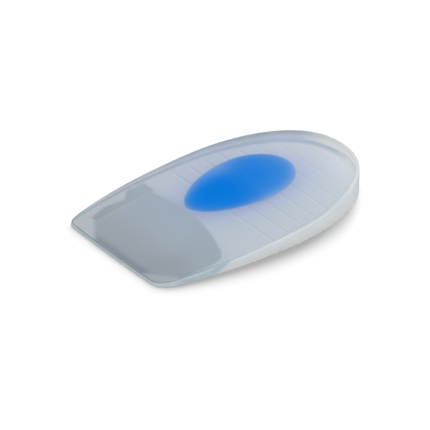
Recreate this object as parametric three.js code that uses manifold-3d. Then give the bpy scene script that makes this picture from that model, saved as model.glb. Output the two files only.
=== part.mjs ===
// Heel cushion: a clear silicone wedge that lies in a shoe under the heel, with a softer blue
// plug let into its underside. Millimetres, +Z up. X runs across the foot and +Y towards the
// back of the heel. The origin is on the underside, at the middle of the length and the width.

import * as THREE from 'three';
import { mergeVertices } from 'three/addons/utils/BufferGeometryUtils.js';
import Module from 'manifold-3d';

const wasm = await Module();
wasm.setup();

// Plan outline
const LENGTH = 108.9;
const HALF_WIDTH = 34.6;
const WIDEST_FROM_FRONT = 53.6;
const FRONT_HALF_WIDTH = 28.3;
const FRONT_BOW = 0.4; // how far the middle of the front edge stands out past its corners
const LEFT_CORNER = 4.6; // length of the rounding along both edges of the front corner at -X
const RIGHT_CORNER = 8; // and of the one at +X
const SIDE_POWER = 2.35; // how late the sides bend in towards the front
const HEEL_POWER = 2.19; // exponent of the superellipse round the heel, 2 being an ellipse
const HEEL_LEAN = 0.8; // how far the tip of the heel stands towards -X

// Thickness
const HEEL_THICKNESS = 9.8;
const FRONT_THICKNESS = 1.1;
const FEATHER_LENGTH = 18; // the front stretch where the top dips below its straight slope
const FEATHER_DROP = 0.6;
const FRONT_ROUND = 0.5; // radius of the rounded top edge at the front line
const HEEL_ROUND = 1.3; // and at the tip of the heel

// Cross grooves in the underside
const GROOVE_COUNT = 8;
const FIRST_GROOVE_FROM_FRONT = 50.55;
const GROOVE_PITCH = 7.2;
const GROOVE_WIDTH = 1.4;
const GROOVE_DEPTH = 0.25;

// Soft plug and its pocket
const PLUG_CENTRE_X = -8.2;
const PLUG_CENTRE_FROM_FRONT = 64.35;
const PLUG_HALF_WIDTH = 15.2;
const PLUG_HALF_LENGTH = 25;
const PLUG_EGG = 0.19; // how much wider the plug is at its heel end than in its middle
const PLUG_TURN = THREE.MathUtils.degToRad(4.2); // of its heel end towards -X
const PLUG_RIM = 0.4; // straight side of the plug at the underside, below its dome
const PLUG_HEIGHT = 4;
const PLUG_GAP = 0.3;

// Fineness of the curved edges
const FRONT_STEPS = 6;
const CORNER_STEPS = 6;
const SIDE_STEPS = 12;
const HEEL_STEPS = 44;
const ROUND_STEPS = 4;
const DOME_STEPS = 8;
const PLUG_SIDES = 56;
const GROOVE_ARC_STEPS = 8;
const CUT_PAST = 1; // how far each cutter reaches past the material it removes

// Y of the line through the two front corners, from which the stations are counted
const FRONT_LINE_Y = -LENGTH / 2 + FRONT_BOW;
const BODY_LENGTH = LENGTH - FRONT_BOW;

const MATERIALS = {
  gel: new THREE.MeshStandardMaterial({
    color: 0xc2ccd6,
    roughness: 0.3,
    metalness: 0,
    transparent: true,
    opacity: 0.7,
  }),
  blueGel: new THREE.MeshStandardMaterial({ color: 0x1479da, roughness: 0.45, metalness: 0 }),
};

// Thickness of the wedge at a distance from the front line
function thickness(fromFront) {
  const slopeStart = FRONT_THICKNESS + FEATHER_DROP;
  const straight = slopeStart + ((HEEL_THICKNESS - slopeStart) * fromFront) / BODY_LENGTH;
  const feather = Math.max(0, 1 - fromFront / FEATHER_LENGTH);
  return straight - FEATHER_DROP * feather ** 2;
}

// Radius of the rounded top edge
function edgeRound(fromFront) {
  return THREE.MathUtils.lerp(FRONT_ROUND, HEEL_ROUND, Math.max(0, fromFront) / BODY_LENGTH);
}

// Half width of the side edge in front of the widest place
function sideHalfWidth(fromFront) {
  const forward = (WIDEST_FROM_FRONT - fromFront) / WIDEST_FROM_FRONT;
  return HALF_WIDTH - (HALF_WIDTH - FRONT_HALF_WIDTH) * forward ** SIDE_POWER;
}

// Half of the outline on the +X side, from the middle of the front edge to the tip of the heel,
// with y counted from the front line
function halfOutline(cornerLength) {
  const cornerEnd = new THREE.Vector2(sideHalfWidth(cornerLength), cornerLength);
  const cornerStart = new THREE.Vector2(cornerEnd.x - cornerLength, 0);
  const cornerPeak = new THREE.Vector2(FRONT_HALF_WIDTH, 0);
  const points = [];
  for (let i = 0; i < FRONT_STEPS; i += 1) {
    const across = i / FRONT_STEPS;
    points.push(new THREE.Vector2(cornerStart.x * across, -FRONT_BOW * (1 - across ** 2)));
  }
  const corner = new THREE.QuadraticBezierCurve(cornerStart, cornerPeak, cornerEnd);
  points.push(...corner.getPoints(CORNER_STEPS));
  for (let i = 1; i < SIDE_STEPS; i += 1) {
    const fromFront = THREE.MathUtils.lerp(cornerLength, WIDEST_FROM_FRONT, i / SIDE_STEPS);
    points.push(new THREE.Vector2(sideHalfWidth(fromFront), fromFront));
  }
  for (let i = 0; i <= HEEL_STEPS; i += 1) {
    const angle = (i / HEEL_STEPS) * (Math.PI / 2);
    const across = Math.max(0, Math.cos(angle)) ** (2 / HEEL_POWER);
    const along = Math.sin(angle) ** (2 / HEEL_POWER);
    const heelLength = BODY_LENGTH - WIDEST_FROM_FRONT;
    points.push(new THREE.Vector2(HALF_WIDTH * across, WIDEST_FROM_FRONT + heelLength * along));
  }
  points[points.length - 1].x = 0;
  return points;
}

// Whole outline, anticlockwise from the middle of the front edge, leaning over at the heel
function wholeOutline() {
  const right = halfOutline(RIGHT_CORNER);
  const left = halfOutline(LEFT_CORNER).slice(1, -1).reverse();
  const mirrored = left.map((point) => new THREE.Vector2(-point.x, point.y));
  return [...right, ...mirrored].map((point) => {
    const back = Math.max(0, point.y - WIDEST_FROM_FRONT) / (BODY_LENGTH - WIDEST_FROM_FRONT);
    return new THREE.Vector2(point.x - HEEL_LEAN * back ** 2, point.y);
  });
}

// Ring of points where the rounded top edge has turned in by an angle, 0 being its foot
function roundedRing(outline, angle) {
  return outline.map((point, i) => {
    const before = outline[(i + outline.length - 1) % outline.length];
    const after = outline[(i + 1) % outline.length];
    const along = after.clone().sub(before).normalize();
    const radius = edgeRound(point.y);
    const inset = radius * (1 - Math.cos(angle));
    const y = point.y + along.x * inset;
    const height = thickness(y) - radius * (1 - Math.sin(angle));
    return new THREE.Vector3(point.x - along.y * inset, y, height);
  });
}

// Rings of the edge from the underside up
function edgeRings(outline) {
  const rings = [outline.map((point) => new THREE.Vector3(point.x, point.y, 0))];
  for (let i = 0; i <= ROUND_STEPS; i += 1) {
    rings.push(roundedRing(outline, (i / ROUND_STEPS) * (Math.PI / 2)));
  }
  return rings;
}

// The wedge without its grooves and pocket: rings of points round the edge, closed by strips
// that run across the underside and the top
function wedgeGeometry() {
  const outline = wholeOutline();
  const count = outline.length;
  const rings = edgeRings(outline);
  const positions = [];
  for (const point of rings.flat()) {
    positions.push(point.x, point.y + FRONT_LINE_Y, point.z);
  }
  const indices = [];
  for (let level = 0; level + 1 < rings.length; level += 1) {
    for (let i = 0; i < count; i += 1) {
      const next = (i + 1) % count;
      const [a, b] = [level * count + i, level * count + next];
      const [c, d] = [a + count, b + count];
      indices.push(a, b, d, a, d, c);
    }
  }
  const topRing = (rings.length - 1) * count;
  for (let i = 0; i < count / 2; i += 1) {
    const [right, rightNext] = [i, i + 1];
    const [left, leftNext] = [(count - i) % count, count - i - 1];
    indices.push(right, leftNext, rightNext, topRing + right, topRing + rightNext, topRing + leftNext);
    indices.push(right, left, leftNext, topRing + right, topRing + leftNext, topRing + left);
  }
  const geometry = new THREE.BufferGeometry();
  geometry.setAttribute('position', new THREE.Float32BufferAttribute(positions, 3));
  geometry.setIndex(indices);
  return geometry;
}

// A bar that cuts one groove: a shallow round roof, running right across
function grooveGeometry(fromFront) {
  const half = GROOVE_WIDTH / 2;
  const radius = (half ** 2 + GROOVE_DEPTH ** 2) / (2 * GROOVE_DEPTH);
  const arcStart = Math.acos(half / radius);
  const section = new THREE.Shape();
  section.moveTo(-half, -CUT_PAST);
  section.lineTo(half, -CUT_PAST);
  section.absarc(0, GROOVE_DEPTH - radius, radius, arcStart, Math.PI - arcStart, false);
  section.closePath();
  const across = 2 * (HALF_WIDTH + CUT_PAST);
  const bar = new THREE.ExtrudeGeometry(section, {
    depth: across,
    bevelEnabled: false,
    curveSegments: GROOVE_ARC_STEPS,
  });
  const [alongX, alongY, alongZ] = [
    new THREE.Vector3(1, 0, 0),
    new THREE.Vector3(0, 1, 0),
    new THREE.Vector3(0, 0, 1),
  ];
  bar.applyMatrix4(new THREE.Matrix4().makeBasis(alongY, alongZ, alongX));
  bar.translate(-across / 2, FRONT_LINE_Y + fromFront, 0);
  return bar;
}

// The plug's form, an egg in plan under a dome, grown all round by a gap and lengthened downwards
function plugGeometry(gap, below) {
  const halfLength = PLUG_HALF_LENGTH + gap;
  const profile = [new THREE.Vector2(0, -below), new THREE.Vector2(1, -below)];
  for (let i = 0; i <= DOME_STEPS; i += 1) {
    const angle = (i / DOME_STEPS) * (Math.PI / 2);
    const dome = (PLUG_HEIGHT - PLUG_RIM) * Math.sin(angle);
    profile.push(new THREE.Vector2(Math.cos(angle), PLUG_RIM + dome + gap));
  }
  profile[profile.length - 1].x = 0;
  const plug = new THREE.LatheGeometry(profile, PLUG_SIDES);
  plug.rotateX(Math.PI / 2);
  plug.scale(PLUG_HALF_WIDTH + gap, halfLength, 1);
  const points = plug.getAttribute('position');
  for (let i = 0; i < points.count; i += 1) {
    points.setX(i, points.getX(i) * (1 + (PLUG_EGG * points.getY(i)) / halfLength));
  }
  plug.rotateZ(PLUG_TURN);
  plug.translate(PLUG_CENTRE_X, FRONT_LINE_Y + PLUG_CENTRE_FROM_FRONT, 0);
  return plug;
}

// A closed solid from a geometry, with shared points merged and collapsed triangles dropped
function toSolid(geometry) {
  const bare = geometry.clone();
  bare.deleteAttribute('normal');
  bare.deleteAttribute('uv');
  const merged = mergeVertices(bare);
  const index = merged.getIndex().array;
  const triangles = [];
  for (let i = 0; i < index.length; i += 3) {
    const [a, b, c] = index.slice(i, i + 3);
    if (a !== b && b !== c && c !== a) triangles.push(a, b, c);
  }
  const mesh = new wasm.Mesh({
    numProp: 3,
    vertProperties: new Float32Array(merged.getAttribute('position').array),
    triVerts: new Uint32Array(triangles),
  });
  return new wasm.Manifold(mesh);
}

function toMesh(name, solid, material) {
  const { vertProperties, triVerts } = solid.getMesh();
  const geometry = new THREE.BufferGeometry();
  geometry.setAttribute('position', new THREE.BufferAttribute(vertProperties, 3));
  geometry.setIndex(new THREE.BufferAttribute(triVerts, 1));
  geometry.computeVertexNormals();
  const mesh = new THREE.Mesh(geometry, material);
  mesh.name = name;
  return mesh;
}

function gelBody() {
  let solid = toSolid(wedgeGeometry());
  for (let i = 0; i < GROOVE_COUNT; i += 1) {
    const fromFront = FIRST_GROOVE_FROM_FRONT + i * GROOVE_PITCH;
    solid = solid.subtract(toSolid(grooveGeometry(fromFront)));
  }
  const pocket = toSolid(plugGeometry(PLUG_GAP, CUT_PAST));
  return toMesh('gel_body', solid.subtract(pocket), MATERIALS.gel);
}

function softInsert() {
  return toMesh('soft_insert', toSolid(plugGeometry(0, 0)), MATERIALS.blueGel);
}

const heelCushion = new THREE.Group();
heelCushion.add(gelBody(), softInsert());

export default heelCushion;
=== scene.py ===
import math

import bpy
import numpy as np
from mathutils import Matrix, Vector


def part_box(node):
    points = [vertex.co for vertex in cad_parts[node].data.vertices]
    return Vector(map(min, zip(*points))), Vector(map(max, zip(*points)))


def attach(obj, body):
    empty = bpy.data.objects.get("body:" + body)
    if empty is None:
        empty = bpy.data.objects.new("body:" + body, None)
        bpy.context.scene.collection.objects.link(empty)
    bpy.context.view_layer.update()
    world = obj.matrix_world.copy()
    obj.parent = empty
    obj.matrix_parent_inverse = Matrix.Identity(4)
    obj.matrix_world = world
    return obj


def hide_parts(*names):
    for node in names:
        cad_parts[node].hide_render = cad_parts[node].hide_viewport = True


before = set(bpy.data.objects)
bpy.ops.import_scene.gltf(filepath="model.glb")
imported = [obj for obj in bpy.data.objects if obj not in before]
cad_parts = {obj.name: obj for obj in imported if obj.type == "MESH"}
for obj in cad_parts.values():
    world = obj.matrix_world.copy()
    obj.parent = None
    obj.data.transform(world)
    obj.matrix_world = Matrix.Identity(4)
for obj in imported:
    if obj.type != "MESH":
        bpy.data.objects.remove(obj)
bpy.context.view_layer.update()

# Heel cushion: a clear silicone wedge with a frosted underside and sides, and a blue plug let
# into its underside, which shows through the clear top. Metres, in the frame's own axes:
# X across the foot, +Y towards the back of the heel, +Z up. The near side is +X and the far side
# -X, as the camera sees them.

MM = 0.001

# Plan outline of the wedge. Lengths along it count from the line through its front corners.
body_low, body_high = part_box("gel_body")
HALF_WIDTH = (body_high.x - body_low.x) / 2
FRONT_BOW = 0.4 * MM
FRONT_LINE_Y = body_low.y + FRONT_BOW
BODY_LENGTH = body_high.y - FRONT_LINE_Y
WIDEST_FROM_FRONT = 53.6 * MM
FRONT_HALF_WIDTH = 28.3 * MM
LEFT_CORNER = 4.6 * MM
RIGHT_CORNER = 8 * MM
SIDE_POWER = 2.35
HEEL_POWER = 2.19
HEEL_LEAN = 0.8 * MM  # how far the tip of the heel stands towards -X

# Thickness of the wedge
HEEL_THICKNESS = 9.8 * MM
FRONT_THICKNESS = 1.1 * MM
FEATHER_LENGTH = 18 * MM
FEATHER_DROP = 0.6 * MM
FRONT_ROUND = 0.5 * MM  # radius of the rounded top edge at the front line
HEEL_ROUND = 1.3 * MM  # and at the tip of the heel
TOP_MARGIN = 0.2 * MM  # flat ring inside the rounded edge, which keeps the top's shading flat

# Cross grooves in the underside
GROOVE_COUNT = 8
FIRST_GROOVE_FROM_FRONT = 50.55 * MM
GROOVE_PITCH = 7.2 * MM
GROOVE_WIDTH = 1.4 * MM
GROOVE_DEPTH = 0.25 * MM
GROOVE_CENTRES = FIRST_GROOVE_FROM_FRONT + np.arange(GROOVE_COUNT) * GROOVE_PITCH
GROOVE_CLEARANCE = 0.6 * GROOVE_WIDTH  # plain rows keep this far from the middle of a groove
PLAIN_LENGTH = 45 * MM  # of the underside before its grooves

# Soft plug and its pocket
PLUG_CENTRE_X = -8.2 * MM
PLUG_CENTRE_FROM_FRONT = 64.35 * MM
PLUG_HALF_WIDTH = 15.2 * MM
PLUG_HALF_LENGTH = 25 * MM
PLUG_EGG = 0.19  # how much the plug widens towards its heel end, as a share of its half width
PLUG_TURN = math.radians(4.2)
PLUG_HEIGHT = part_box("soft_insert")[1].z
PLUG_RIM = 0.1 * MM  # upright rim under the dome
PLUG_GAP = 0.02 * MM  # between the plug and its pocket
CUT_PAST = 1 * MM  # how far the pocket's cutter reaches below the underside

# Fineness of the meshes
FRONT_STEPS = 24
CORNER_STEPS = 16
SIDE_STEPS = 36
MIDDLE_STEPS = 6
HEEL_STEPS = 96
GROOVE_STEPS = 10
ROUND_STEPS = 8
WALL_STEPS = 4
DOME_STEPS = 24
PLUG_SIDES = 128
SHARP_ANGLE = math.radians(35)

# Directions that the shading takes
UP = Vector((0, 0, 1))
DOWN = Vector((0, 0, -1))
FACES_DOWN = -0.5  # a face whose normal has a lower Z than this is a bottom face

# Material slots of the wedge
TOP, SIDE, UNDERSIDE, POCKET = range(4)


# Form of the wedge


def thickness(from_front):
    slope_start = FRONT_THICKNESS + FEATHER_DROP
    straight = slope_start + (HEEL_THICKNESS - slope_start) * from_front / BODY_LENGTH
    feather = np.maximum(0, 1 - from_front / FEATHER_LENGTH)
    return straight - FEATHER_DROP * feather**2


def edge_round(from_front):
    return FRONT_ROUND + (HEEL_ROUND - FRONT_ROUND) * np.clip(from_front / BODY_LENGTH, 0, 1)


def side_half_width(from_front):
    forward = (WIDEST_FROM_FRONT - from_front) / WIDEST_FROM_FRONT
    return HALF_WIDTH - (HALF_WIDTH - FRONT_HALF_WIDTH) * forward**SIDE_POWER


def heel_half_width(from_front):
    along = (from_front - WIDEST_FROM_FRONT) / (BODY_LENGTH - WIDEST_FROM_FRONT)
    return HALF_WIDTH * np.maximum(0, 1 - along**HEEL_POWER) ** (1 / HEEL_POWER)


def heel_lean(from_front):
    """How far the outline stands towards -X at a distance from the front line."""
    behind = np.maximum(0, from_front - WIDEST_FROM_FRONT) / (BODY_LENGTH - WIDEST_FROM_FRONT)
    return HEEL_LEAN * behind**2


def front_points(corner_length):
    """Front edge and rounded corner of one half, as (half width, from front) rows."""
    corner_end = np.array([side_half_width(corner_length), corner_length])
    corner_start = np.array([corner_end[0] - corner_length, 0])
    corner_peak = np.array([FRONT_HALF_WIDTH, 0])
    across = np.linspace(0, 1, FRONT_STEPS, endpoint=False)
    edge = np.column_stack([corner_start[0] * across, -FRONT_BOW * (1 - across**2)])
    turn = np.linspace(0, 1, CORNER_STEPS, endpoint=False)[:, None]
    corner = (
        (1 - turn) ** 2 * corner_start
        + 2 * turn * (1 - turn) * corner_peak
        + turn**2 * corner_end
    )
    return np.vstack([edge, corner])


def groove_rows():
    """Rows across the grooves, as (from front, height of the underside) pairs."""
    half = GROOVE_WIDTH / 2
    radius = (half**2 + GROOVE_DEPTH**2) / (2 * GROOVE_DEPTH)
    offset = np.linspace(-half, half, GROOVE_STEPS + 1)
    height = GROOVE_DEPTH - radius + np.sqrt(radius**2 - offset**2)
    return np.vstack([np.column_stack([centre + offset, height]) for centre in GROOVE_CENTRES])


def side_rows(corner_length):
    """Rows of one side and the heel in order, as (half width, from front, underside height)."""
    side = np.concatenate(
        [
            np.linspace(corner_length, PLAIN_LENGTH, SIDE_STEPS, endpoint=False),
            np.linspace(PLAIN_LENGTH, WIDEST_FROM_FRONT, MIDDLE_STEPS, endpoint=False),
        ]
    )
    turn = np.linspace(0, math.pi / 2, HEEL_STEPS + 1)
    heel_length = BODY_LENGTH - WIDEST_FROM_FRONT
    heel = WIDEST_FROM_FRONT + heel_length * np.sin(turn) ** (2 / HEEL_POWER)
    plain = np.concatenate([side, heel])
    nearest = np.abs(plain[:, None] - GROOVE_CENTRES).min(axis=1)
    plain = plain[nearest > GROOVE_CLEARANCE]
    rows = np.vstack([np.column_stack([plain, np.zeros_like(plain)]), groove_rows()])
    rows = rows[np.argsort(rows[:, 0], kind="stable")]
    from_front = rows[:, 0]
    half = np.where(
        from_front < WIDEST_FROM_FRONT,
        side_half_width(np.minimum(from_front, WIDEST_FROM_FRONT)),
        heel_half_width(np.maximum(from_front, WIDEST_FROM_FRONT)),
    )
    return np.column_stack([half, rows])


def half_outline(corner_length):
    """One half of the outline from the middle of the front to the tip of the heel."""
    front = front_points(corner_length)
    front = np.column_stack([front, np.zeros(len(front))])
    half = np.vstack([front, side_rows(corner_length)])
    half[-1, 0] = 0  # the tip lies on the middle line
    return half


def inset_ring(ring, inset):
    """A closed ring moved inwards, each point along its own inward normal."""
    along = np.roll(ring, -1, axis=0) - np.roll(ring, 1, axis=0)
    along /= np.linalg.norm(along, axis=1)[:, None]
    return ring + inset[:, None] * np.column_stack([-along[:, 1], along[:, 0]])


def edge_levels():
    """Levels above the underside: share of the straight wall, and the turn and run past it."""
    levels = [(step / WALL_STEPS, 0, 0) for step in range(WALL_STEPS + 1)]
    levels += [(1, step / ROUND_STEPS * math.pi / 2, 0) for step in range(1, ROUND_STEPS + 1)]
    levels.append((1, math.pi / 2, TOP_MARGIN))
    return levels


def wedge_outline():
    """Whole outline as (X, from front, underside height) rows, and the count of its right half."""
    right = half_outline(RIGHT_CORNER)
    # The left half runs forward from the heel, without the two points that the halves share
    left = half_outline(LEFT_CORNER)[-2:0:-1] * [-1, 1, 1]
    whole = np.vstack([right, left])
    whole[:, 0] -= heel_lean(whole[:, 1])
    return whole, len(right)


def wedge_rings(outline, levels):
    """Points round the wedge's edge, one ring for each level."""
    radius = edge_round(outline[:, 1])
    underside = outline[:, 2]
    rings = []
    for share, turn, run in levels:
        ring = inset_ring(outline[:, :2], radius * (1 - math.cos(turn)) + run)
        wall_top = thickness(ring[:, 1]) - radius * (1 - math.sin(turn))
        height = underside + share * (wall_top - underside)
        rings.append(np.column_stack([ring[:, 0], ring[:, 1] + FRONT_LINE_Y, height]))
    return np.vstack(rings)


def wedge_mesh():
    """The wedge with its grooves: rings round the edge, closed by strips across."""
    outline, half_count = wedge_outline()
    count = len(outline)
    levels = edge_levels()
    faces, slots = [], []
    for level in range(len(levels) - 1):
        slot = SIDE if level < WALL_STEPS + ROUND_STEPS else TOP
        for i in range(count):
            a, b = level * count + i, level * count + (i + 1) % count
            faces.append((a, b, b + count, a + count))
            slots.append(slot)
    last = (len(levels) - 1) * count
    for i in range(half_count - 1):
        opposite, opposite_next = (count - i) % count, count - i - 1
        strip = list(dict.fromkeys((i, i + 1, opposite_next, opposite)))
        faces.append(tuple(last + corner for corner in strip))
        slots.append(TOP)
        faces.append(tuple(reversed(strip)))
        slots.append(UNDERSIDE)
    return mesh_from("gel_body_skin", wedge_rings(outline, levels), faces, slots)


# Form of the plug


def plug_mesh(name, gap, below, slot):
    """The plug's dome on an egg, grown all round by a gap and lengthened downwards."""
    levels = [(1, -below)]
    for step in range(DOME_STEPS):
        angle = step / DOME_STEPS * math.pi / 2
        dome = (PLUG_HEIGHT - PLUG_RIM) * math.sin(angle)
        levels.append((math.cos(angle), PLUG_RIM + dome + gap))
    around = np.linspace(0, 2 * math.pi, PLUG_SIDES, endpoint=False)
    points = [egg_ring(around, outwards, gap, height) for outwards, height in levels]
    points.append(egg_ring(np.zeros(1), 0, gap, -below))
    points.append(egg_ring(np.zeros(1), 0, gap, PLUG_HEIGHT + gap))
    bottom_centre = len(levels) * PLUG_SIDES
    top_centre = bottom_centre + 1
    last = (len(levels) - 1) * PLUG_SIDES
    faces = []
    for i in range(PLUG_SIDES):
        j = (i + 1) % PLUG_SIDES
        faces.append((bottom_centre, j, i))
        faces.append((top_centre, last + i, last + j))
        for level in range(len(levels) - 1):
            base = level * PLUG_SIDES
            faces.append((base + i, base + j, base + PLUG_SIDES + j, base + PLUG_SIDES + i))
    return mesh_from(name, np.vstack(points), faces, [slot] * len(faces))


def egg_ring(around, outwards, gap, height):
    """Points of one level of the plug, turned and moved to its place."""
    share_along = outwards * np.sin(around)
    across = (PLUG_HALF_WIDTH + gap) * outwards * np.cos(around) * (1 + PLUG_EGG * share_along)
    along = (PLUG_HALF_LENGTH + gap) * share_along
    x = PLUG_CENTRE_X + math.cos(PLUG_TURN) * across - math.sin(PLUG_TURN) * along
    from_front = PLUG_CENTRE_FROM_FRONT + math.sin(PLUG_TURN) * across + math.cos(PLUG_TURN) * along
    return np.column_stack([x, from_front + FRONT_LINE_Y, np.full_like(x, height)])


# Mesh helpers


def mesh_from(name, points, faces, slots):
    mesh = bpy.data.meshes.new(name)
    mesh.from_pydata(points.tolist(), [], faces)
    mesh.polygons.foreach_set("material_index", slots)
    mesh.update()
    return mesh


def add_object(name, data):
    thing = bpy.data.objects.new(name, data)
    bpy.context.scene.collection.objects.link(thing)
    return thing


def shade(mesh):
    mesh.polygons.foreach_set("use_smooth", [True] * len(mesh.polygons))
    mesh.set_sharp_from_angle(angle=SHARP_ANGLE)
    mesh.update()


def light_evenly(mesh):
    """Turns the shading of a dome upright, for a face that is bonded inside the clear gel."""
    normals = []
    for face in mesh.polygons:
        normals += [DOWN if face.normal.z < FACES_DOWN else UP] * face.loop_total
    mesh.normals_split_custom_set(normals)


def light_underside_evenly(mesh):
    """Turns the shading of the underside upright, so that the grooves' slopes take no shading of their
    own and painted shade and highlight lines stand in for it.
    """
    normals = [corner.vector.copy() for corner in mesh.corner_normals]
    for face in mesh.polygons:
        if face.material_index == UNDERSIDE:
            for loop in face.loop_indices:
                normals[loop] = DOWN
    mesh.normals_split_custom_set(normals)


def cut(body, cutter):
    """Cuts one closed mesh out of another, and deletes the cutter."""
    modifier = body.modifiers.new("cut", "BOOLEAN")
    modifier.operation = "DIFFERENCE"
    modifier.solver = "EXACT"
    modifier.material_mode = "INDEX"
    modifier.object = cutter
    depsgraph = bpy.context.evaluated_depsgraph_get()
    result = bpy.data.meshes.new_from_object(body.evaluated_get(depsgraph))
    body.modifiers.clear()
    old = body.data
    body.data = result
    bpy.data.meshes.remove(old)
    bpy.data.objects.remove(cutter)


# Node helpers

WHITE = (1, 1, 1, 1)
NOISE_DETAIL = 2.0
MIX_FIRST, MIX_SECOND, MIX_RESULT = 6, 7, 2  # colour sockets of the mix node


class Graph:
    """Short calls that build the nodes of one material or world."""

    def __init__(self, owner):
        self.owner = owner
        owner.use_nodes = True
        self.tree = owner.node_tree
        self.tree.nodes.clear()

    def feed(self, socket, value):
        if isinstance(value, bpy.types.NodeSocket):
            self.tree.links.new(value, socket)
        else:
            socket.default_value = value

    def node(self, kind, **values):
        made = self.tree.nodes.new(kind)
        for name, value in values.items():
            self.feed(made.inputs[name.replace("_", " ")], value)
        return made

    def math(self, operation, first, second=0.0):
        made = self.tree.nodes.new("ShaderNodeMath")
        made.operation = operation
        self.feed(made.inputs[0], first)
        self.feed(made.inputs[1], second)
        return made.outputs[0]

    def product(self, values):
        total = values[0]
        for value in values[1:]:
            total = self.math("MULTIPLY", total, value)
        return total

    def ramp(self, value, start, end):
        """0 at start and 1 at end, smooth between them. start may be the larger one."""
        made = self.tree.nodes.new("ShaderNodeMapRange")
        made.interpolation_type = "SMOOTHSTEP"
        low, high = min(start, end), max(start, end)
        self.feed(made.inputs["Value"], value)
        self.feed(made.inputs["From Min"], low)
        self.feed(made.inputs["From Max"], high)
        self.feed(made.inputs["To Min"], 0.0 if start < end else 1.0)
        self.feed(made.inputs["To Max"], 1.0 if start < end else 0.0)
        return made.outputs["Result"]

    def mix(self, kind, share, first, second):
        made = self.tree.nodes.new("ShaderNodeMix")
        made.data_type = "RGBA"
        made.blend_type = kind
        self.feed(made.inputs["Factor"], share)
        self.feed(made.inputs[MIX_FIRST], first)
        self.feed(made.inputs[MIX_SECOND], second)
        return made.outputs[MIX_RESULT]

    def blend(self, share, first, second):
        return self.mix("MIX", share, first, second)

    def scaled(self, colour, by):
        return self.mix("MULTIPLY", 1.0, colour, by)

    def tinted(self, colour, share, tint):
        """A colour multiplied by a share of a tint, 0 leaving it as it is."""
        return self.scaled(colour, self.blend(share, WHITE, tint))

    def seen_through(self, shown):
        """Socket for one channel of the plug's own colour, from what shows through the top."""
        below = self.math("ADD", self.math("MULTIPLY", shown, PLUG_RETURNS), PLUG_PASSES)
        return self.math("DIVIDE", shown, below)

    def noise(self, scale):
        place = self.tree.nodes.new("ShaderNodeTexCoord").outputs["Object"]
        made = self.node("ShaderNodeTexNoise", Vector=place, Scale=scale, Detail=NOISE_DETAIL)
        return made.outputs["Fac"]

    def place(self):
        """Sockets for the place across, from the front line and up, in metres."""
        place = self.tree.nodes.new("ShaderNodeTexCoord").outputs["Object"]
        split = self.node("ShaderNodeSeparateXYZ", Vector=place)
        from_front = self.math("SUBTRACT", split.outputs["Y"], FRONT_LINE_Y)
        return split.outputs["X"], from_front, split.outputs["Z"]

    def bump(self, height, strength, distance):
        made = self.node("ShaderNodeBump", Height=height, Strength=strength, Distance=distance)
        return made.outputs["Normal"]

    def crown(self):
        """0 where the surface is upright and 1 where it lies nearly flat."""
        normal = self.tree.nodes.new("ShaderNodeNewGeometry").outputs["Normal"]
        up = self.node("ShaderNodeSeparateXYZ", Vector=normal).outputs["Z"]
        return self.ramp(self.math("ABSOLUTE", up), *CROWN_TURN)

    def facing(self, towards):
        """Socket for how far a world direction faces one way, 1 being straight towards it."""
        made = self.tree.nodes.new("ShaderNodeVectorMath")
        made.operation = "DOT_PRODUCT"
        place = self.tree.nodes.new("ShaderNodeTexCoord").outputs["Generated"]
        self.feed(made.inputs[0], place)
        self.feed(made.inputs[1], towards)
        return made.outputs["Value"]

    def finish(self, shader):
        kind = "World" if isinstance(self.owner, bpy.types.World) else "Material"
        output = self.tree.nodes.new("ShaderNodeOutput" + kind)
        self.tree.links.new(shader, output.inputs["Surface"])
        return self.owner


def new_material(name):
    return Graph(bpy.data.materials.new(name))


# Clear gel that the underside and the plug are seen through

GEL_IOR = 1.41
TOP_PASSES = 0.42  # share of the light on the top that a white underside sends back at once
TOP_RETURNS = 0.55  # share of the underside's light that the top throws back down
PLUG_PASSES = 0.71  # the same two shares for the plug alone
PLUG_RETURNS = 0.09

# Colours of the underside, as they show through the clear top, in sRGB values of 0 to 255
FROSTED_FRONT = (177, 188, 199)
FROSTED_HEEL = (201, 207, 212)
FROSTED_CORNER = (166, 174, 182)
FROSTED_TIP = (215, 219, 223)
WETTED_EDGE = (101, 111, 125)
WETTED_FRONT = (137, 146, 154)
WETTED_REAR = (144, 157, 170)

# Colours of the sides and of their rounded top edge, the crown
SIDE_NEAR = (229, 235, 236)
# Near wall foot: its own warmer tone, and lighter as painted light that makes up for the floor's
# shadow there
SIDE_NEAR_FOOT = (243, 242, 235)
# Near wall at the heel tip: its own warmer grey, made paler as painted light that lifts the shade
# there
SIDE_TIP = (236, 236, 229)
# The far wall's colours are paler at the heel and towards the front corner: painted light, where light
# from outside shines through
SIDE_FAR_FRONT = (226, 236, 244)
SIDE_FAR_CORNER = (250, 252, 250)
SIDE_FAR = (195, 214, 228)
SIDE_FAR_HEEL = (250, 252, 254)
SIDE_CLEAR = (193, 216, 220)
SIDE_SMUDGE = (155, 188, 204)
SIDE_FRONT = (193, 211, 217)
# Front lip foot: its own pale cyan, made lighter as painted light shining through the thin lip
SIDE_FRONT_FOOT = (241, 255, 255)
SIDE_GLOW = (238, 240, 242)
# The crown's near side is painted shade: dark so the rounded edge catches no bright line, darkest at
# the front where the light beside the camera falls straight on it
CROWN_NEAR = (168, 174, 178)
CROWN_NEAR_FRONT = (128, 138, 146)
CROWN_FAR = (151, 163, 181)
CROWN_FAR_FRONT = (182, 190, 194)
CROWN_HEEL = (191, 194, 197)
CROWN_FRONT = (117, 128, 138)

# Colour of the plug where it is thinnest, as it shows through the clear top
PLUG_THIN = (182, 193, 213)

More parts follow.
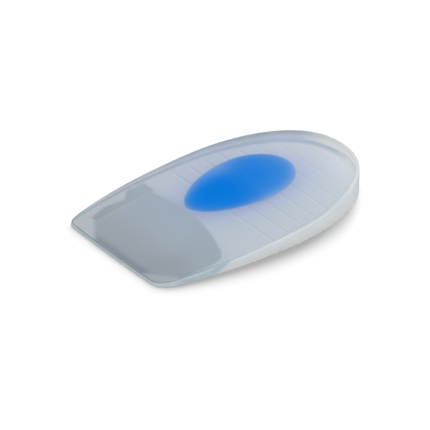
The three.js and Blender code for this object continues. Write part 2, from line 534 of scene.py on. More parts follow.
# Tints, which multiply a linear colour
# Painted shade on the far wall, darker towards its top
FAR_WALL_TOP_SHADE = (0.7, 0.715, 0.735, 1)
FAR_TINT = (1.03, 1.0, 1.0, 1)
NEAR_TINT = (0.965, 0.98, 0.985, 1)
WETTED_NEAR_TINT = (0.94, 0.94, 0.94, 1)
HAZE_TINT = (0.9, 0.925, 0.935, 1)
SEAM_TINT = (1.08, 1.06, 1.0, 1)
STREAK_TINT = (0.92, 0.91, 0.89, 1)
# Painted shade along the foot of the far wall
RIM_SHADE_TINT = (0.79, 0.85, 0.91, 1)
# Painted shade and painted highlight of each groove's two slopes
GROOVE_SHADE_TINT = (0.8, 0.85, 0.9, 1)
GROOVE_HIGHLIGHT_TINT = (1.06, 1.05, 1.03, 1)
# Painted shade in the plug's blue, round the plug on the underside
PLUG_BLUE_SHADE_TINT = (0.66, 0.75, 0.985, 1)
CLEAR_TOP_TINT = (0.98, 0.99, 1, 1)


def linear(colour):
    """An sRGB colour as the linear one that the shaders take, by the curve of that standard."""
    shares = np.array(colour) / 255
    return np.where(shares <= 0.04045, shares / 12.92, ((shares + 0.055) / 1.055) ** 2.4)


def seen_through(colour):
    """The underside's own colour, from the sRGB colour that shows through the clear top."""
    shown = linear(colour)
    return (*(shown / (TOP_PASSES + TOP_RETURNS * shown)), 1.0)


def surface(colour):
    return (*linear(colour), 1.0)


# Materials: each pair of numbers is where a change of look starts and where it is full

# Clear top

TOP_RIPPLE_SCALE = 900
TOP_RIPPLE_STRENGTH = 0.05
TOP_RIPPLE_DEPTH = 0.02 * MM


def clear_top_material():
    """Smooth moulded silicone that the inside shows through."""
    graph = new_material("clear_gel_top")
    ripple = graph.noise(TOP_RIPPLE_SCALE)
    shader = graph.node(
        "ShaderNodeBsdfPrincipled",
        Base_Color=CLEAR_TOP_TINT,
        Roughness=0.07,
        IOR=GEL_IOR,
        Transmission_Weight=1.0,
        Normal=graph.bump(ripple, TOP_RIPPLE_STRENGTH, TOP_RIPPLE_DEPTH),
    )
    return graph.finish(shader.outputs["BSDF"])


# Frosted sides

FROST_SCALE = 2500
FROST_STRENGTH = 0.03
FROST_DEPTH = 0.05 * MM
CROWN_TURN = (0.1, 0.9)  # how far the rounded edge faces up
FAR_ACROSS = (10 * MM, -25 * MM)
FAR_SHADE_HEIGHT = (0.1, 1.0)
FAR_SHADE_FROM_FRONT = (6 * MM, 30 * MM)
FAR_CORNER_FROM_FRONT = (28 * MM, 12 * MM)
HEEL_TIP_ACROSS = (-21 * MM, -5 * MM)
HEEL_TIP_FROM_FRONT = (84 * MM, 98 * MM)
GLOW_HEEL_FROM_FRONT = (89 * MM, 107 * MM)
GLOW_SHARE = 0.4  # of the wall that the light outside glows through
GLOW_MORE_AT_HEEL = 0.5
GLOW_MORE_AT_CORNER = 0.24


def frosted_side_material():
    """Frosted sides that let the light outside glow through them, and their rounded top edge."""
    graph = new_material("frosted_gel_side")
    across, from_front, up = graph.place()
    height = wall_height(graph, from_front, up)
    far = graph.ramp(across, *FAR_ACROSS)
    # Painted shade: the far wall darker towards its top, fading out towards the front
    far_top_shade = graph.product(
        (far, graph.ramp(height, *FAR_SHADE_HEIGHT), graph.ramp(from_front, *FAR_SHADE_FROM_FRONT))
    )
    crown = graph.crown()
    wall_colour = wall_colours(graph, across, from_front, height, far)
    wall_colour = graph.tinted(wall_colour, far_top_shade, FAR_WALL_TOP_SHADE)
    skin = graph.node(
        "ShaderNodeBsdfPrincipled",
        Base_Color=graph.blend(crown, wall_colour, crown_colours(graph, across, from_front)),
        Roughness=0.45,
        IOR=GEL_IOR,
        Specular_IOR_Level=0.2,
        Normal=graph.bump(graph.noise(FROST_SCALE), FROST_STRENGTH, FROST_DEPTH),
    )
    # The same painted shade on the light that glows through the far wall
    glow_colour = graph.tinted(surface(SIDE_GLOW), far_top_shade, FAR_WALL_TOP_SHADE)
    glow = graph.node("ShaderNodeBsdfTranslucent", Color=glow_colour)
    mixed = graph.node("ShaderNodeMixShader", Fac=glow_share(graph, across, from_front, far, crown))
    graph.feed(mixed.inputs[1], skin.outputs["BSDF"])
    graph.feed(mixed.inputs[2], glow.outputs["BSDF"])
    return graph.finish(mixed.outputs["Shader"])


def wall_height(graph, from_front, up):
    """Socket for the share of the way up the wall."""
    slope_start = FRONT_THICKNESS + FEATHER_DROP
    slope = (HEEL_THICKNESS - slope_start) / BODY_LENGTH
    wall = graph.math("ADD", graph.math("MULTIPLY", from_front, slope), slope_start)
    return graph.math("DIVIDE", up, wall)


def glow_share(graph, across, from_front, far, crown):
    """Share of the glow: more at the heel and the far corner, none in the rounded edge."""
    at_heel = graph.product(
        (
            graph.ramp(from_front, *GLOW_HEEL_FROM_FRONT),
            graph.ramp(across, *HEEL_TIP_ACROSS),
            GLOW_MORE_AT_HEEL,
        )
    )
    at_corner = graph.product(
        (far, graph.ramp(from_front, *FAR_CORNER_FROM_FRONT), GLOW_MORE_AT_CORNER)
    )
    share = graph.math("ADD", graph.math("ADD", at_heel, at_corner), GLOW_SHARE)
    return graph.math("MULTIPLY", share, graph.math("SUBTRACT", 1.0, crown))


# Colours of the upright walls

NEAR_FOOT_HEIGHT = (0.0, 0.9)
FAR_FROM_FRONT = (45 * MM, 75 * MM)
LIP_FOOT_HEIGHT = (0.0, 0.55)
LIP_FROM_FRONT = (14 * MM, 3 * MM)
CLEAR_LEAN = 8 * MM  # how far the end of the clear stretch leans back towards the top
CLEAR_FROM_FRONT = (23 * MM, 19.5 * MM)
CLEAR_ACROSS = (-25 * MM, -20 * MM)
SMUDGE_FROM_FRONT = (14 * MM, 18 * MM)
SMUDGE_HEIGHT = (0.3, 0.7)


def wall_colours(graph, across, from_front, height, far):
    """Colour of the upright walls, clearer towards the front."""
    tip = graph.product(
        (graph.ramp(from_front, *HEEL_TIP_FROM_FRONT), graph.ramp(across, *HEEL_TIP_ACROSS))
    )
    # Near wall lighter towards its foot: painted light that makes up for the floor's shadow
    near_side = graph.blend(
        graph.ramp(height, *NEAR_FOOT_HEIGHT), surface(SIDE_NEAR_FOOT), surface(SIDE_NEAR)
    )
    # paler near wall at the heel tip: its own tone, and painted light that lifts the shade
    near_side = graph.blend(tip, near_side, surface(SIDE_TIP))
    # The far wall is paler at its heel and towards its front corner: painted light, where light from
    # outside shines through
    far_side = graph.blend(
        graph.ramp(from_front, *FAR_FROM_FRONT), surface(SIDE_FAR_FRONT), surface(SIDE_FAR)
    )
    far_side = graph.blend(tip, far_side, surface(SIDE_FAR_HEEL))
    at_corner = graph.ramp(from_front, *FAR_CORNER_FROM_FRONT)
    far_side = graph.blend(at_corner, far_side, surface(SIDE_FAR_CORNER))
    frosted = graph.blend(far, near_side, far_side)
    slanted = graph.math("SUBTRACT", from_front, graph.math("MULTIPLY", height, CLEAR_LEAN))
    clearing = graph.product(
        (graph.ramp(slanted, *CLEAR_FROM_FRONT), graph.ramp(across, *CLEAR_ACROSS))
    )
    return graph.blend(clearing, frosted, clear_wall_colours(graph, from_front, height, slanted))


def clear_wall_colours(graph, from_front, height, slanted):
    """Colour of the clear stretch of wall at the front, with a bluer smudge at its end."""
    # Front lip lighter towards its foot: painted light shining through the thin lip
    lip = graph.blend(
        graph.ramp(height, *LIP_FOOT_HEIGHT), surface(SIDE_FRONT_FOOT), surface(SIDE_FRONT)
    )
    clear = graph.blend(graph.ramp(from_front, *LIP_FROM_FRONT), surface(SIDE_CLEAR), lip)
    smudge = graph.product(
        (graph.ramp(slanted, *SMUDGE_FROM_FRONT), graph.ramp(height, *SMUDGE_HEIGHT))
    )
    return graph.blend(smudge, clear, surface(SIDE_SMUDGE))


# Colours of the rounded top edge

CROWN_SLANT = 0.2
CROWN_NEAR_ACROSS = (-15 * MM, 25 * MM)
CROWN_FAR_FROM_FRONT = (34 * MM, 14 * MM)
CROWN_NEAR_FROM_FRONT = (44 * MM, 8 * MM)
CROWN_HEEL_FROM_FRONT = (70 * MM, 95 * MM)
CROWN_FRONT_FROM_FRONT = (5 * MM, 1 * MM)


def crown_colours(graph, across, from_front):
    """Colour of the rounded top edge where it turns in to the top, with painted shade on its near
    side.
    """
    slanted = graph.math("ADD", across, graph.math("MULTIPLY", from_front, CROWN_SLANT))
    far_side = graph.blend(
        graph.ramp(from_front, *CROWN_FAR_FROM_FRONT), surface(CROWN_FAR), surface(CROWN_FAR_FRONT)
    )
    # painted shade on the near side of the rounded edge, darkest at its front
    near_side = graph.blend(
        graph.ramp(from_front, *CROWN_NEAR_FROM_FRONT), surface(CROWN_NEAR), surface(CROWN_NEAR_FRONT)
    )
    colour = graph.blend(graph.ramp(slanted, *CROWN_NEAR_ACROSS), far_side, near_side)
    colour = graph.blend(graph.ramp(from_front, *CROWN_HEEL_FROM_FRONT), colour, surface(CROWN_HEEL))
    return graph.blend(graph.ramp(from_front, *CROWN_FRONT_FROM_FRONT), colour, surface(CROWN_FRONT))


# Underside

FROSTED_SLANT = 0.35
FROSTED_HEEL_FROM_FRONT = (20 * MM, 115 * MM)
FROSTED_CORNER_FROM_FRONT = (38 * MM, 14 * MM)
NEARER_ACROSS = (-24 * MM, 24 * MM)
WETTED_FROM_FRONT = (8 * MM, 26 * MM)
WETTED_EDGE_FROM_FRONT = (5.5 * MM, 0)
WETTED_NEAR_ACROSS = (5 * MM, 20 * MM)
STREAK_DARK_FROM_FRONT = (36 * MM, 20 * MM)
TIP_INWARDS = (9 * MM, 1 * MM)
TIP_FROM_FRONT = (82 * MM, 100 * MM)
TIP_ACROSS = (-4 * MM, 7 * MM)


def underside_material():
    """Frosted, with a smoother stretch at the front that lies flat on the surface below it."""
    graph = new_material("frosted_gel_underside")
    across, from_front, _ = graph.place()
    patch, streak, seam, haze = wetted_place(graph, across, from_front)
    frosted = frosted_colours(graph, across, from_front, haze)
    wetted = wetted_colours(graph, across, from_front, seam, streak)
    colour = graph.blend(graph.math("MAXIMUM", patch, streak), frosted, wetted)
    inwards = edge_distance(graph, across, from_front)
    # painted shade along the foot of the far wall
    colour = graph.tinted(colour, painted_rim_shade(graph, across, from_front, inwards), RIM_SHADE_TINT)
    # painted shade and highlight for the grooves
    colour = painted_groove_shading(graph, colour, across, from_front)
    tip = graph.product(
        (
            graph.ramp(inwards, *TIP_INWARDS),
            graph.ramp(from_front, *TIP_FROM_FRONT),
            graph.ramp(across, *TIP_ACROSS),
        )
    )
    shader = graph.node(
        "ShaderNodeBsdfPrincipled",
        Base_Color=graph.blend(tip, colour, seen_through(FROSTED_TIP)),
        Roughness=0.6,
        IOR=GEL_IOR,
        Specular_IOR_Level=0.0,
    )
    return graph.finish(shader.outputs["BSDF"])


def frosted_colours(graph, across, from_front, haze):
    """Colour of the frosted underside, paler to the heel and tinted round the plug."""
    slanted = graph.math("ADD", from_front, graph.math("MULTIPLY", across, FROSTED_SLANT))
    heelwards = graph.ramp(slanted, *FROSTED_HEEL_FROM_FRONT)
    frosted = graph.blend(heelwards, seen_through(FROSTED_FRONT), seen_through(FROSTED_HEEL))
    cornerwards = graph.ramp(from_front, *FROSTED_CORNER_FROM_FRONT)
    frosted = graph.blend(cornerwards, frosted, seen_through(FROSTED_CORNER))
    # painted blue shade round the plug
    frosted = graph.scaled(frosted, painted_plug_shade(graph))
    nearer = graph.ramp(across, *NEARER_ACROSS)
    frosted = graph.scaled(frosted, graph.blend(nearer, FAR_TINT, NEAR_TINT))
    return graph.tinted(frosted, haze, HAZE_TINT)


def wetted_colours(graph, across, from_front, seam, streak):
    """Colour where the underside lies flat on the surface below, darkest along the front edge."""
    rearwards = graph.ramp(from_front, *WETTED_FROM_FRONT)
    wetted = graph.blend(rearwards, seen_through(WETTED_FRONT), seen_through(WETTED_REAR))
    at_edge = graph.ramp(from_front, *WETTED_EDGE_FROM_FRONT)
    wetted = graph.blend(at_edge, wetted, seen_through(WETTED_EDGE))
    wetted = graph.tinted(wetted, graph.ramp(across, *WETTED_NEAR_ACROSS), WETTED_NEAR_TINT)
    wetted = graph.tinted(wetted, seam, SEAM_TINT)
    streak_dark = graph.product((streak, graph.ramp(from_front, *STREAK_DARK_FROM_FRONT)))
    return graph.tinted(wetted, streak_dark, STREAK_TINT)


# Painted shade: a dark line inside the far edge of the underside

RIM_OUTER = (0.0, 0.5 * MM)
RIM_INNER = (2.2 * MM, 0.9 * MM)
RIM_ACROSS = (12 * MM, -10 * MM)
RIM_WIDER_FROM_FRONT = (60 * MM, 95 * MM)
RIM_WIDER_BY = 1 * MM


def painted_rim_shade(graph, across, from_front, inwards):
    """Share of the painted shade along the foot of the far wall, wider at the heel."""
    wider = graph.math("MULTIPLY", graph.ramp(from_front, *RIM_WIDER_FROM_FRONT), RIM_WIDER_BY)
    return graph.product(
        (
            graph.ramp(inwards, *RIM_OUTER),
            graph.ramp(graph.math("SUBTRACT", inwards, wider), *RIM_INNER),
            graph.ramp(across, *RIM_ACROSS),
        )
    )


# Painted shade and highlight that stand in for the shading of the grooves' slopes

LINES_SIDE = (-35 * MM, -26 * MM)
LINES_FADE = 1 * MM
LINES_PAST_LAST = 3 * MM
LINES_HEEL_FROM_FRONT = (105 * MM, 60 * MM)
LINES_AT_HEEL = 0.6
LINES_MORE_AT_FRONT = 0.4
DARK_SHARE = 0.6
DARK_FAR_ACROSS = (-8 * MM, -22 * MM)
DARK_FAR_FROM_FRONT = (90 * MM, 66 * MM)
DARK_FAR_MORE = 0.85
DARK_FAR_LESS = 0.45
DARK_START = (-0.1 * MM, 0.3 * MM)  # from the middle of the groove
DARK_END = (0.95 * MM, 0.55 * MM)
LIGHT_START = (-1.0 * MM, -0.6 * MM)
LIGHT_END = (0.0, -0.35 * MM)


def painted_groove_shading(graph, colour, across, from_front):
    """Painted shade and highlight for each groove: a dark line with a light one before it, fainter
    towards the heel.
    """
    start = GROOVE_CENTRES[0] - GROOVE_PITCH / 2
    end = GROOVE_CENTRES[-1] + LINES_PAST_LAST
    past = graph.math("FLOORED_MODULO", graph.math("SUBTRACT", from_front, start), GROOVE_PITCH)
    offset = graph.math("SUBTRACT", past, GROOVE_PITCH / 2)
    frontwards = graph.ramp(from_front, *LINES_HEEL_FROM_FRONT)
    strength = graph.product(
        (
            graph.ramp(from_front, start, start + LINES_FADE),
            graph.ramp(from_front, end, end - LINES_FADE),
            graph.ramp(across, *LINES_SIDE),
            graph.math("ADD", graph.math("MULTIPLY", frontwards, LINES_MORE_AT_FRONT), LINES_AT_HEEL),
        )
    )
    far_front = graph.math("MULTIPLY", graph.ramp(from_front, *DARK_FAR_FROM_FRONT), DARK_FAR_MORE)
    far_change = graph.math("SUBTRACT", far_front, DARK_FAR_LESS)
    far_change = graph.math("MULTIPLY", graph.ramp(across, *DARK_FAR_ACROSS), far_change)
    dark_share = graph.math("ADD", far_change, DARK_SHARE)
    dark = graph.product(
        (strength, dark_share, graph.ramp(offset, *DARK_START), graph.ramp(offset, *DARK_END))
    )
    light = graph.product((strength, graph.ramp(offset, *LIGHT_START), graph.ramp(offset, *LIGHT_END)))
    colour = graph.tinted(colour, dark, GROOVE_SHADE_TINT)
    return graph.tinted(colour, light, GROOVE_HIGHLIGHT_TINT)


def edge_distance(graph, across, from_front):
    """Socket for the distance in from the wedge's sides and heel, close to their outline."""
    ahead = graph.math("MAXIMUM", graph.math("SUBTRACT", WIDEST_FROM_FRONT, from_front), 0.0)
    ahead = graph.math("DIVIDE", ahead, WIDEST_FROM_FRONT)
    narrowing = graph.math(
        "MULTIPLY", graph.math("POWER", ahead, SIDE_POWER), HALF_WIDTH - FRONT_HALF_WIDTH
    )
    behind = graph.math("MAXIMUM", graph.math("SUBTRACT", from_front, WIDEST_FROM_FRONT), 0.0)
    heel_length = BODY_LENGTH - WIDEST_FROM_FRONT
    share_behind = graph.math("DIVIDE", behind, heel_length)
    lean = graph.product((share_behind, share_behind, HEEL_LEAN))
    sideways = graph.math("ABSOLUTE", graph.math("ADD", across, lean))
    share_across = graph.math("DIVIDE", sideways, graph.math("SUBTRACT", HALF_WIDTH, narrowing))
    total = graph.math(
        "ADD",
        graph.math("POWER", share_across, HEEL_POWER),
        graph.math("POWER", share_behind, HEEL_POWER),
    )
    inwards = graph.math("SUBTRACT", 1.0, graph.math("POWER", total, 1 / HEEL_POWER))
    reach = graph.product((share_behind, share_behind, heel_length - HALF_WIDTH))
    return graph.math("MULTIPLY", inwards, graph.math("ADD", reach, HALF_WIDTH))


# Wetted patch at the front of the underside

WANDER_SCALE = 180
WANDER = 3.5 * MM  # how far the outline wanders in all
WANDER_MIDDLE = 0.5  # middle of what the noise gives
STRAIGHT_EDGE_X = -22.5 * MM
STRAIGHT_EDGE_FROM_FRONT = 7.8 * MM
STRAIGHT_EDGE_SLOPE = 0.0971
STRAIGHT_EDGE_FADE = (-0.5 * MM, 0.4 * MM)
REAR_MIDDLE_X = -9.4 * MM
REAR_BOW = 6.67  # per metre: how strongly the rear edge curves forward at its ends
REAR_CORNER_FROM_FRONT = 34.8 * MM
REAR_CORNER_X = 24.5 * MM
REAR_FADE = (5.0 * MM, 3.4 * MM)
REAR_FAR_SHIFT = 1.5 * MM
REAR_FAR_ACROSS = (-2 * MM, -20 * MM)
PATCH_FRONT_MIDDLE_X = 2 * MM
PATCH_FRONT_STRAIGHT = 13.6 * MM  # half length of the patch's straight front
PATCH_CORNER_SLOPE = 0.66
PATCH_FRONT_FADE = (-1.2 * MM, 2.4 * MM)
NEAR_CORNER_SHARE = 0.3  # of the patch that is left in its near front corner
NEAR_CORNER_ACROSS = (0.0, 5 * MM)


def wetted_place(graph, across, from_front):
    """Shares of the wetted patch, the streak by its straight edge, the seam between, and haze."""
    wander = graph.math("SUBTRACT", graph.noise(WANDER_SCALE), WANDER_MIDDLE)
    wander = graph.math("MULTIPLY", wander, WANDER)
    off_edge = straight_edge(graph, across, from_front)
    rearwards = rounded_rear(graph, across, from_front)
    outwards = graph.math("ABSOLUTE", graph.math("SUBTRACT", across, PATCH_FRONT_MIDDLE_X))
    outwards = graph.math("ADD", outwards, wander)
    corner = graph.math("MAXIMUM", graph.math("SUBTRACT", outwards, PATCH_FRONT_STRAIGHT), 0.0)
    cut_off = graph.math("MULTIPLY", corner, PATCH_CORNER_SLOPE)
    off_front = graph.math("SUBTRACT", from_front, cut_off)
    near_corner = graph.math("MULTIPLY", graph.ramp(across, *NEAR_CORNER_ACROSS), NEAR_CORNER_SHARE)
    patch = graph.product(
        (
            graph.ramp(off_edge, *STRAIGHT_EDGE_FADE),
            graph.ramp(rearwards, *REAR_FADE),
            graph.math("MAXIMUM", graph.ramp(off_front, *PATCH_FRONT_FADE), near_corner),
        )
    )
    streak = streak_place(graph, across, from_front, off_edge, wander)
    seam = seam_place(graph, from_front, off_edge)
    return patch, streak, seam, haze_place(graph, across, from_front, rearwards)


def straight_edge(graph, across, from_front):
    """Socket for the distance in from the patch's straight edge on the far side."""
    behind = graph.math("SUBTRACT", from_front, STRAIGHT_EDGE_FROM_FRONT)
    edge = graph.math("ADD", across, graph.math("MULTIPLY", behind, STRAIGHT_EDGE_SLOPE))
    return graph.math("SUBTRACT", edge, STRAIGHT_EDGE_X)


def rounded_rear(graph, across, from_front):
    """Socket for the distance out towards the patch's rear and near edges, round their corner."""
    sideways = graph.math("SUBTRACT", across, REAR_MIDDLE_X)
    bowed = graph.math("ADD", from_front, graph.product((sideways, sideways, REAR_BOW)))
    past_rear = graph.math("MAXIMUM", graph.math("SUBTRACT", bowed, REAR_CORNER_FROM_FRONT), 0.0)
    past_side = graph.math("MAXIMUM", graph.math("SUBTRACT", across, REAR_CORNER_X), 0.0)
    squared = graph.math(
        "ADD",
        graph.math("MULTIPLY", past_rear, past_rear),
        graph.math("MULTIPLY", past_side, past_side),
    )
    far_shift = graph.math("MULTIPLY", graph.ramp(across, *REAR_FAR_ACROSS), REAR_FAR_SHIFT)
    return graph.math("ADD", graph.math("SQRT", squared), far_shift)


# Streak, seam and haze round the wetted patch

STREAK_WIDER_FROM_FRONT = (8 * MM, 16 * MM)
STREAK_WIDER_BY = 2.5 * MM
STREAK_STEP_FROM_FRONT = (25 * MM, 30 * MM)
STREAK_STEP = 4.0 * MM
STREAK_WANDER = 0.5  # share of the patch's wander
STREAK_OUTER = (-26.2 * MM, -24.0 * MM)
STREAK_INNER = (0.9 * MM, -0.3 * MM)
STREAK_START = (7.6 * MM, 9.2 * MM)
STREAK_END = (38.2 * MM, 36.8 * MM)
SEAM_OUTER = (-0.2 * MM, 0.3 * MM)
SEAM_INNER = (1.6 * MM, 0.5 * MM)
SEAM_START = (8 * MM, 11 * MM)
SEAM_END = (35 * MM, 26 * MM)
HAZE_REAR = (10.5 * MM, 4.2 * MM)
HAZE_ACROSS = (8 * MM, -16 * MM)
HAZE_START = (33 * MM, 37 * MM)


def streak_place(graph, across, from_front, off_edge, wander):
    """Share of the streak, which widens and then steps out on its way back."""
    wider = graph.math("MULTIPLY", graph.ramp(from_front, *STREAK_WIDER_FROM_FRONT), STREAK_WIDER_BY)
    step = graph.math("MULTIPLY", graph.ramp(from_front, *STREAK_STEP_FROM_FRONT), STREAK_STEP)
    off_outer = graph.math("ADD", graph.math("ADD", across, wider), step)
    off_outer = graph.math("ADD", off_outer, graph.math("MULTIPLY", wander, STREAK_WANDER))
    return graph.product(
        (
            graph.ramp(off_outer, *STREAK_OUTER),
            graph.ramp(off_edge, *STREAK_INNER),
            graph.ramp(from_front, *STREAK_START),
            graph.ramp(from_front, *STREAK_END),
        )
    )


def seam_place(graph, from_front, off_edge):
    """Share of the pale line between the streak and the patch."""
    return graph.product(
        (
            graph.ramp(off_edge, *SEAM_OUTER),
            graph.ramp(off_edge, *SEAM_INNER),
            graph.ramp(from_front, *SEAM_START),
            graph.ramp(from_front, *SEAM_END),
        )
    )


def haze_place(graph, across, from_front, rearwards):
    """Share of the haze behind the patch on the far side."""
    return graph.product(
        (
            graph.ramp(rearwards, *HAZE_REAR),
            graph.ramp(across, *HAZE_ACROSS),
            graph.ramp(from_front, *HAZE_START),
        )
    )


# Plug: the painted blue shade round it on the underside, its pocket and its blue

HALO_SHIFT_X = 1.8 * MM
HALO_SHIFT_FORWARD = 0.5 * MM
HALO_START = 0.9  # share of the way to the plug's rim
HALO_REACH = 0.36
DYE = 3.55  # how strongly the thickest part of the plug is dyed
DYE_MORE_IN_FRONT = 3.0
DYE_ALONG = (0.15, -0.55)
FAR_RIM_SIDEWAYS = (-0.1, -0.75)
FAR_RIM_ALONG = (0.55, -0.1)
FAR_RIM_LESS = 0.44
GREEN_DYE = 0.8
GREEN_KEPT = 0.345  # share of the green light that even the deepest dye sends back


def painted_plug_shade(graph):
    """Painted shade in the plug's blue, as if light through the plug fell tinted on the frosted
    underside round it, most on the near side.
    """
    squared, _, _ = plug_radius(
        graph, PLUG_CENTRE_X + HALO_SHIFT_X, PLUG_CENTRE_FROM_FRONT - HALO_SHIFT_FORWARD
    )
    beyond = graph.math("SUBTRACT", graph.math("SQRT", squared), HALO_START)
    beyond = graph.math("MAXIMUM", beyond, 0.0)
    strength = graph.math("EXPONENT", graph.math("MULTIPLY", beyond, -1 / HALO_REACH))
    return graph.blend(strength, WHITE, PLUG_BLUE_SHADE_TINT)


def pocket_material():
    """The bonded face between the two silicones, which nothing shows at."""
    graph = new_material("bonded_pocket")
    return graph.finish(graph.node("ShaderNodeBsdfTransparent").outputs["BSDF"])


def plug_radius(graph, centre_x, centre_from_front):
    """Sockets for the squared share of the way to the rim, and its parts across and along."""
    across, from_front, _ = graph.place()
    offset_x = graph.math("SUBTRACT", across, centre_x)
    offset_y = graph.math("SUBTRACT", from_front, centre_from_front)
    turned = (
        (offset_x, math.cos(PLUG_TURN), offset_y, math.sin(PLUG_TURN), PLUG_HALF_WIDTH),
        (offset_y, math.cos(PLUG_TURN), offset_x, -math.sin(PLUG_TURN), PLUG_HALF_LENGTH),
    )
    shares = []
    for first, first_weight, second, second_weight, half in turned:
        total = graph.math(
            "ADD",
            graph.math("MULTIPLY", first, first_weight / half),
            graph.math("MULTIPLY", second, second_weight / half),
        )
        shares.append(total)
    sideways, along = shares
    egg = graph.math("ADD", graph.math("MULTIPLY", along, PLUG_EGG), 1.0)
    sideways = graph.math("DIVIDE", sideways, egg)
    squared = graph.math(
        "ADD", graph.math("MULTIPLY", sideways, sideways), graph.math("MULTIPLY", along, along)
    )
    return squared, sideways, along


def dye_depth(graph):
    """Socket for how much dye the light meets, less at the thin rim and the far flank."""
    squared, sideways, along = plug_radius(graph, PLUG_CENTRE_X, PLUG_CENTRE_FROM_FRONT)
    inside = graph.math("MAXIMUM", graph.math("SUBTRACT", 1.0, squared), 0.0)
    in_front = graph.math("MULTIPLY", graph.ramp(along, *DYE_ALONG), DYE_MORE_IN_FRONT)
    far_rim = graph.product(
        (graph.ramp(sideways, *FAR_RIM_SIDEWAYS), graph.ramp(along, *FAR_RIM_ALONG), FAR_RIM_LESS)
    )
    return graph.product(
        (
            graph.math("SQRT", inside),
            graph.math("ADD", in_front, DYE),
            graph.math("SUBTRACT", 1.0, far_rim),
        )
    )


def blue_material():
    """Blue silicone, deeper where the plug is thicker, so its thin rim fades out."""
    graph = new_material("blue_gel")
    dye = dye_depth(graph)
    red = graph.math("EXPONENT", graph.math("MULTIPLY", dye, -1.0))
    green = graph.math("EXPONENT", graph.math("MULTIPLY", dye, -GREEN_DYE))
    green = graph.math("ADD", graph.math("MULTIPLY", green, 1 - GREEN_KEPT), GREEN_KEPT)
    thin = linear(PLUG_THIN)
    colour = graph.node(
        "ShaderNodeCombineColor",
        Red=graph.seen_through(graph.math("MULTIPLY", red, thin[0])),
        Green=graph.seen_through(graph.math("MULTIPLY", green, thin[1])),
        Blue=graph.seen_through(thin[2]),
    )
    shader = graph.node(
        "ShaderNodeBsdfPrincipled",
        Base_Color=colour.outputs["Color"],
        Roughness=0.5,
        IOR=GEL_IOR,
        Specular_IOR_Level=0.0,
    )
    return graph.finish(shader.outputs["BSDF"])


# Floor: a grey card, which its own strong lights make as bright as white paper

FLOOR_GREY = (0.1, 0.1, 0.1, 1)


def floor_material():
    graph = new_material("studio_floor")
    shader = graph.node("ShaderNodeBsdfDiffuse", Color=FLOOR_GREY)
    return graph.finish(shader.outputs["BSDF"])


# Pieces


def make_gel_body():
    body = add_object("clear_gel_wedge", wedge_mesh())
    cutter = plug_mesh("pocket_cutter", gap=PLUG_GAP, below=CUT_PAST, slot=POCKET)
    pocket = add_object("pocket_cutter", cutter)
    for material in (
        clear_top_material(),
        frosted_side_material(),
        underside_material(),
        pocket_material(),
    ):
        body.data.materials.append(material)
        pocket.data.materials.append(material)
    cut(body, pocket)
    shade(body.data)
    light_underside_evenly(body.data)
    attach(body, "root")
    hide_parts("gel_body")


def make_plug():
    plug = add_object("blue_gel_plug", plug_mesh("blue_gel_plug", gap=0, below=0, slot=0))
    plug.data.materials.append(blue_material())
    shade(plug.data)
    light_evenly(plug.data)
    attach(plug, "root")
    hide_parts("soft_insert")


# Stage, light and camera

# Camera, as fitted to the photo
CAMERA_AZIMUTH = math.radians(52.75)
CAMERA_ELEVATION = math.radians(31.52)
CAMERA_DISTANCE = 1271 * MM
CAMERA_TARGET = Vector((-0.21 * MM, -6.93 * MM, 0))
CAMERA_LENS = 285.6  # in millimetres, as the sensor's width is
CAMERA_SENSOR = 36

# Floor, a hair below the underside
FLOOR_HALF = 3.0
FLOOR_DROP = 0.005 * MM

# Floor lights: azimuth, elevation and spread in degrees, strength, and whether they cast shadows
FLOOR_LIGHTS = {
    "key": (226, 38, 32, 19.1, True),
    "low": (200, 12, 14, 16.5, True),
    "side": (222, 20, 18, 11.5, True),
    "even": (0, 90, 30, 9.5, False),
}

# Light panels round the object: strength, and the pairs of facing shares where each one fades in
AMBIENT = 0.02
ZENITH_STRENGTH = 2.1
ZENITH_UP = (0.74, 0.94)
BESIDE_STRENGTH = 1.88
BESIDE_AZIMUTH = math.radians(60)
BESIDE_ELEVATION = math.radians(38)
BESIDE_FACING = (0.45, 0.85)
BESIDE_UP = (0.2, 0.45)
BACKDROP_STRENGTH = 1.0
BACKDROP_FACING = (0, 0.5)
BACKDROP_UP = (0.47, 0.34)


def direction(azimuth, elevation):
    """Unit vector towards a camera or light at an azimuth from -Y and an elevation."""
    return Vector(
        (
            math.sin(azimuth) * math.cos(elevation),
            -math.cos(azimuth) * math.cos(elevation),
            math.sin(elevation),
        )
    )


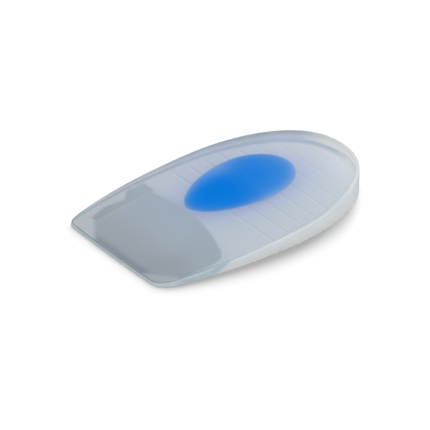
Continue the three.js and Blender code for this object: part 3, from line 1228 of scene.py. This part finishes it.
def make_floor():
    corners = [(-1, -1), (1, -1), (1, 1), (-1, 1)]
    points = np.array([(FLOOR_HALF * x, FLOOR_HALF * y, -FLOOR_DROP) for x, y in corners])
    floor = add_object("floor", mesh_from("floor", points, [(0, 1, 2, 3)], [0]))
    floor.data.materials.append(floor_material())
    return floor


def make_floor_lights(floor):
    """Lights for the floor alone: soft ones from behind that draw the shadow, and an even one."""
    lit = bpy.data.collections.new("lit_floor")
    lit.objects.link(floor)
    for name, (azimuth, elevation, spread, strength, shadows) in FLOOR_LIGHTS.items():
        lamp = bpy.data.lights.new(name, "SUN")
        lamp.energy = strength
        lamp.angle = math.radians(spread)
        lamp.use_shadow = shadows
        light = add_object(name, lamp)
        towards = direction(math.radians(azimuth), math.radians(elevation))
        light.rotation_euler = towards.to_track_quat("Z", "Y").to_euler()
        light.light_linking.receiver_collection = lit


def make_fill():
    """Broad studio light from above, from beside the camera and low behind the object."""
    graph = Graph(bpy.data.worlds.new("studio"))
    up = graph.facing(UP)
    beside = graph.facing(direction(BESIDE_AZIMUTH, BESIDE_ELEVATION))
    behind = graph.facing(-direction(CAMERA_AZIMUTH, 0))
    panels = (
        (graph.ramp(up, *ZENITH_UP), ZENITH_STRENGTH),
        (graph.ramp(beside, *BESIDE_FACING), graph.ramp(up, *BESIDE_UP), BESIDE_STRENGTH),
        (graph.ramp(behind, *BACKDROP_FACING), graph.ramp(up, *BACKDROP_UP), BACKDROP_STRENGTH),
    )
    total = AMBIENT
    for panel in panels:
        total = graph.math("ADD", graph.product(panel), total)
    background = graph.node("ShaderNodeBackground", Color=WHITE, Strength=total)
    bpy.context.scene.world = graph.finish(background.outputs["Background"])


def make_camera():
    lens = bpy.data.cameras.new("camera")
    lens.sensor_width = CAMERA_SENSOR
    lens.lens = CAMERA_LENS
    camera = add_object("camera", lens)
    back = direction(CAMERA_AZIMUTH, CAMERA_ELEVATION)
    camera.location = CAMERA_TARGET + back * CAMERA_DISTANCE
    camera.rotation_euler = (-back).to_track_quat("-Z", "Y").to_euler()
    bpy.context.scene.camera = camera


make_camera()
make_fill()
make_floor_lights(make_floor())
make_gel_body()
make_plug()
bpy.context.scene.view_settings.view_transform = "Standard"
